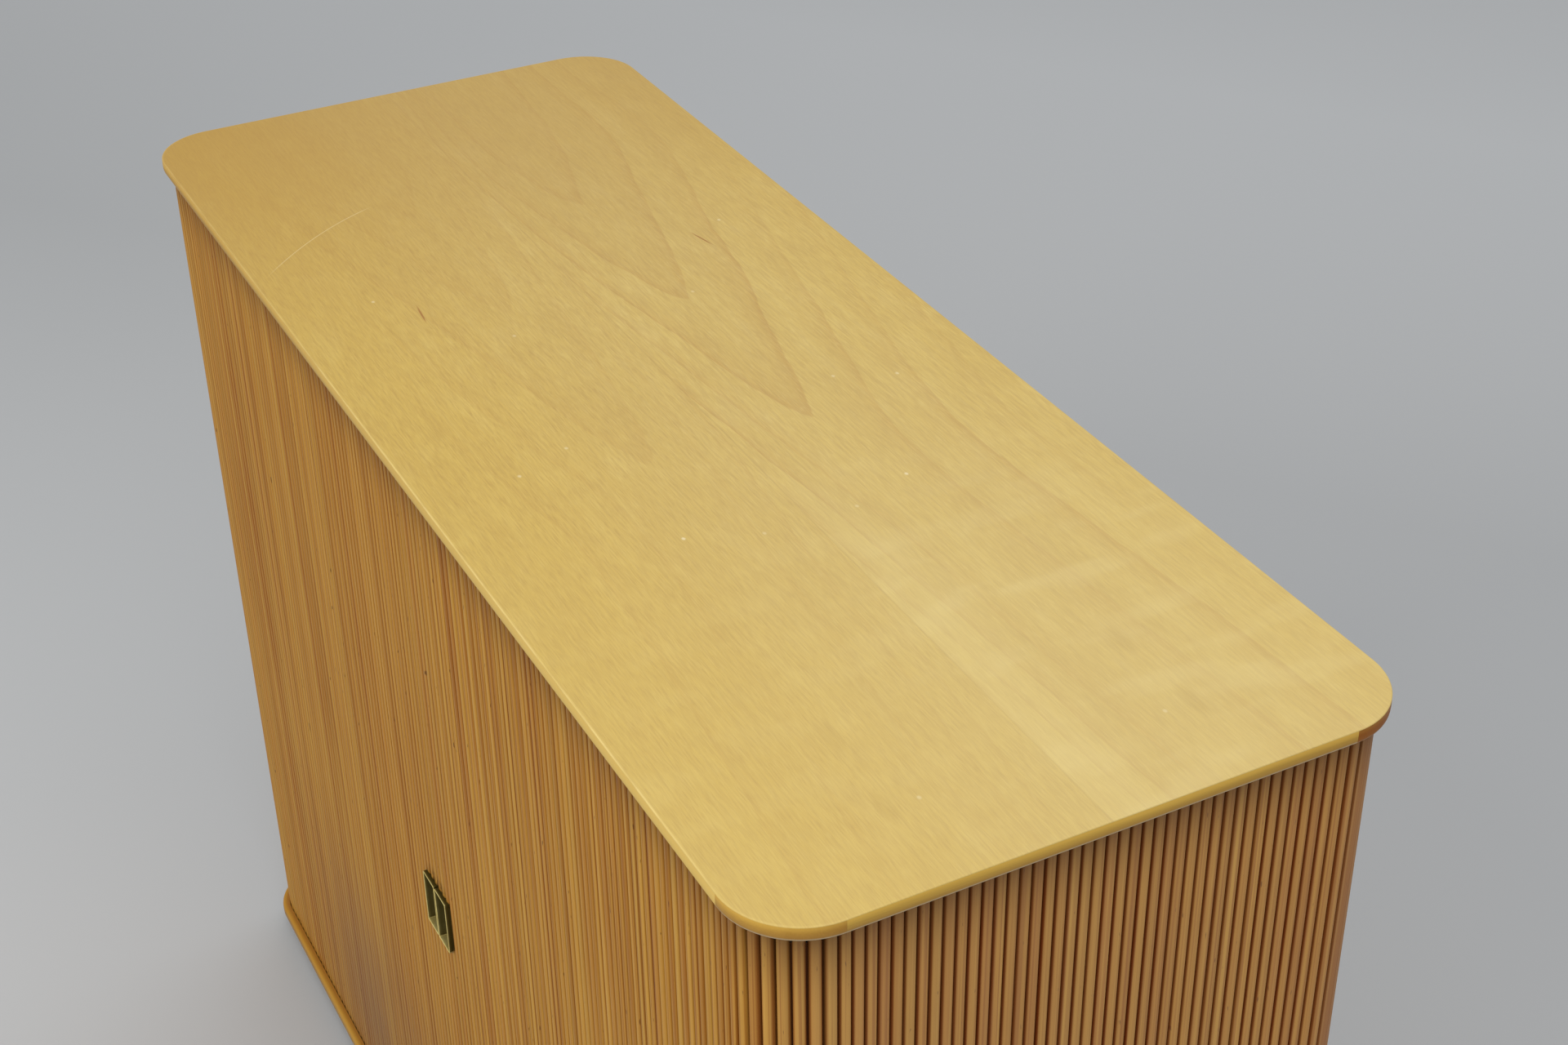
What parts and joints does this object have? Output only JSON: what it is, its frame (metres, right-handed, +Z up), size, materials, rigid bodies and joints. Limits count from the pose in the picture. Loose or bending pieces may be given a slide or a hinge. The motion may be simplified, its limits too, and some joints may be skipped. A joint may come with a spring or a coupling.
{
  "type": "tambour door cabinet",
  "caption": "Low free-standing cabinet with rounded corners, reeded tambour leaves that slide round the ends, brass cup pulls and shelves.",
  "frame": {"origin": "on the floor under the middle of the cabinet", "axes": "+X along the length, to the right seen from the front; -Y is the front; +Z up"},
  "size_m": [1.15, 0.435, 0.867],
  "materials": {
    "top_veneer": "satin clear varnish",
    "lipping": "satin clear varnish",
    "board_core": "plain",
    "slat_wood": "satin clear varnish",
    "carcass_wood": "satin clear varnish",
    "plinth_wood": "stained",
    "brass": "aged",
    "canvas": "plain weave"
  },
  "bodies": {
    "carcass": {"bottom_back_lipping": "lipping", "bottom_core": "board_core", "bottom_corner_lippings": "lipping", "bottom_front_lipping": "lipping", "bottom_left_lipping": "lipping", "bottom_right_lipping": "lipping", "centre_partition": "carcass_wood", "inner_back_panel": "carcass_wood", "left_back_corner_slats": "slat_wood", "left_back_post": "carcass_wood", "left_end_canvas": "canvas", "left_end_panel": "carcass_wood", "left_end_slats": "slat_wood", "left_front_canvas": "canvas", "left_front_corner_slats": "slat_wood", "left_front_post": "carcass_wood", "left_front_slats": "slat_wood", "left_lower_shelf": "carcass_wood", "left_upper_shelf": "carcass_wood", "loose_tenons": "carcass_wood", "outer_back_panel": "carcass_wood", "plinth_back_rail": "plinth_wood", "plinth_centre_rail": "plinth_wood", "plinth_corner_blocks": "plinth_wood", "plinth_front_rail": "plinth_wood", "plinth_left_rail": "plinth_wood", "plinth_right_rail": "plinth_wood", "right_back_corner_slats": "slat_wood", "right_back_post": "carcass_wood", "right_end_canvas": "canvas", "right_end_panel": "carcass_wood", "right_end_slats": "slat_wood", "right_front_canvas": "canvas", "right_front_corner_slats": "slat_wood", "right_front_post": "carcass_wood", "right_front_slats": "slat_wood", "right_lower_shelf": "carcass_wood", "right_upper_shelf": "carcass_wood", "shelf_cleats": "carcass_wood", "top_back_lipping": "lipping", "top_core": "board_core", "top_corner_lippings": "lipping", "top_front_lipping": "lipping", "top_left_lipping": "lipping", "top_right_lipping": "lipping", "top_veneer": "top_veneer", "track_stops": "carcass_wood"},
    "left_door": {"left_lead_stile": "slat_wood", "left_pull": "brass", "left_lead_slats": "slat_wood", "left_lead_canvas": "canvas"},
    "right_door": {"right_lead_stile": "slat_wood", "right_pull": "brass", "right_lead_slats": "slat_wood", "right_lead_canvas": "canvas"},
    "left_tail": {"left_tail_batten": "slat_wood"},
    "right_tail": {"right_tail_batten": "slat_wood"}
  },
  "joints": [
    {"name": "left_door_slide", "type": "slide", "parent": "carcass", "child": "left_door", "axis": [-1, 0, 0], "range_m": [0, 0.448], "deforming": ["left_front_slats", "left_front_canvas"]},
    {"name": "right_door_slide", "type": "slide", "parent": "carcass", "child": "right_door", "axis": [1, 0, 0], "range_m": [0, 0.448], "deforming": ["right_front_slats", "right_front_canvas"]},
    {"name": "left_tail_slide", "type": "slide", "parent": "carcass", "child": "left_tail", "axis": [1, 0, 0], "range_m": [0, 0.448]},
    {"name": "right_tail_slide", "type": "slide", "parent": "carcass", "child": "right_tail", "axis": [-1, 0, 0], "range_m": [0, 0.448]}
  ],
  "couplings": [
    {"joint": "left_tail_slide", "follows": "left_door_slide", "ratio": 1},
    {"joint": "right_tail_slide", "follows": "right_door_slide", "ratio": 1}
  ]
}
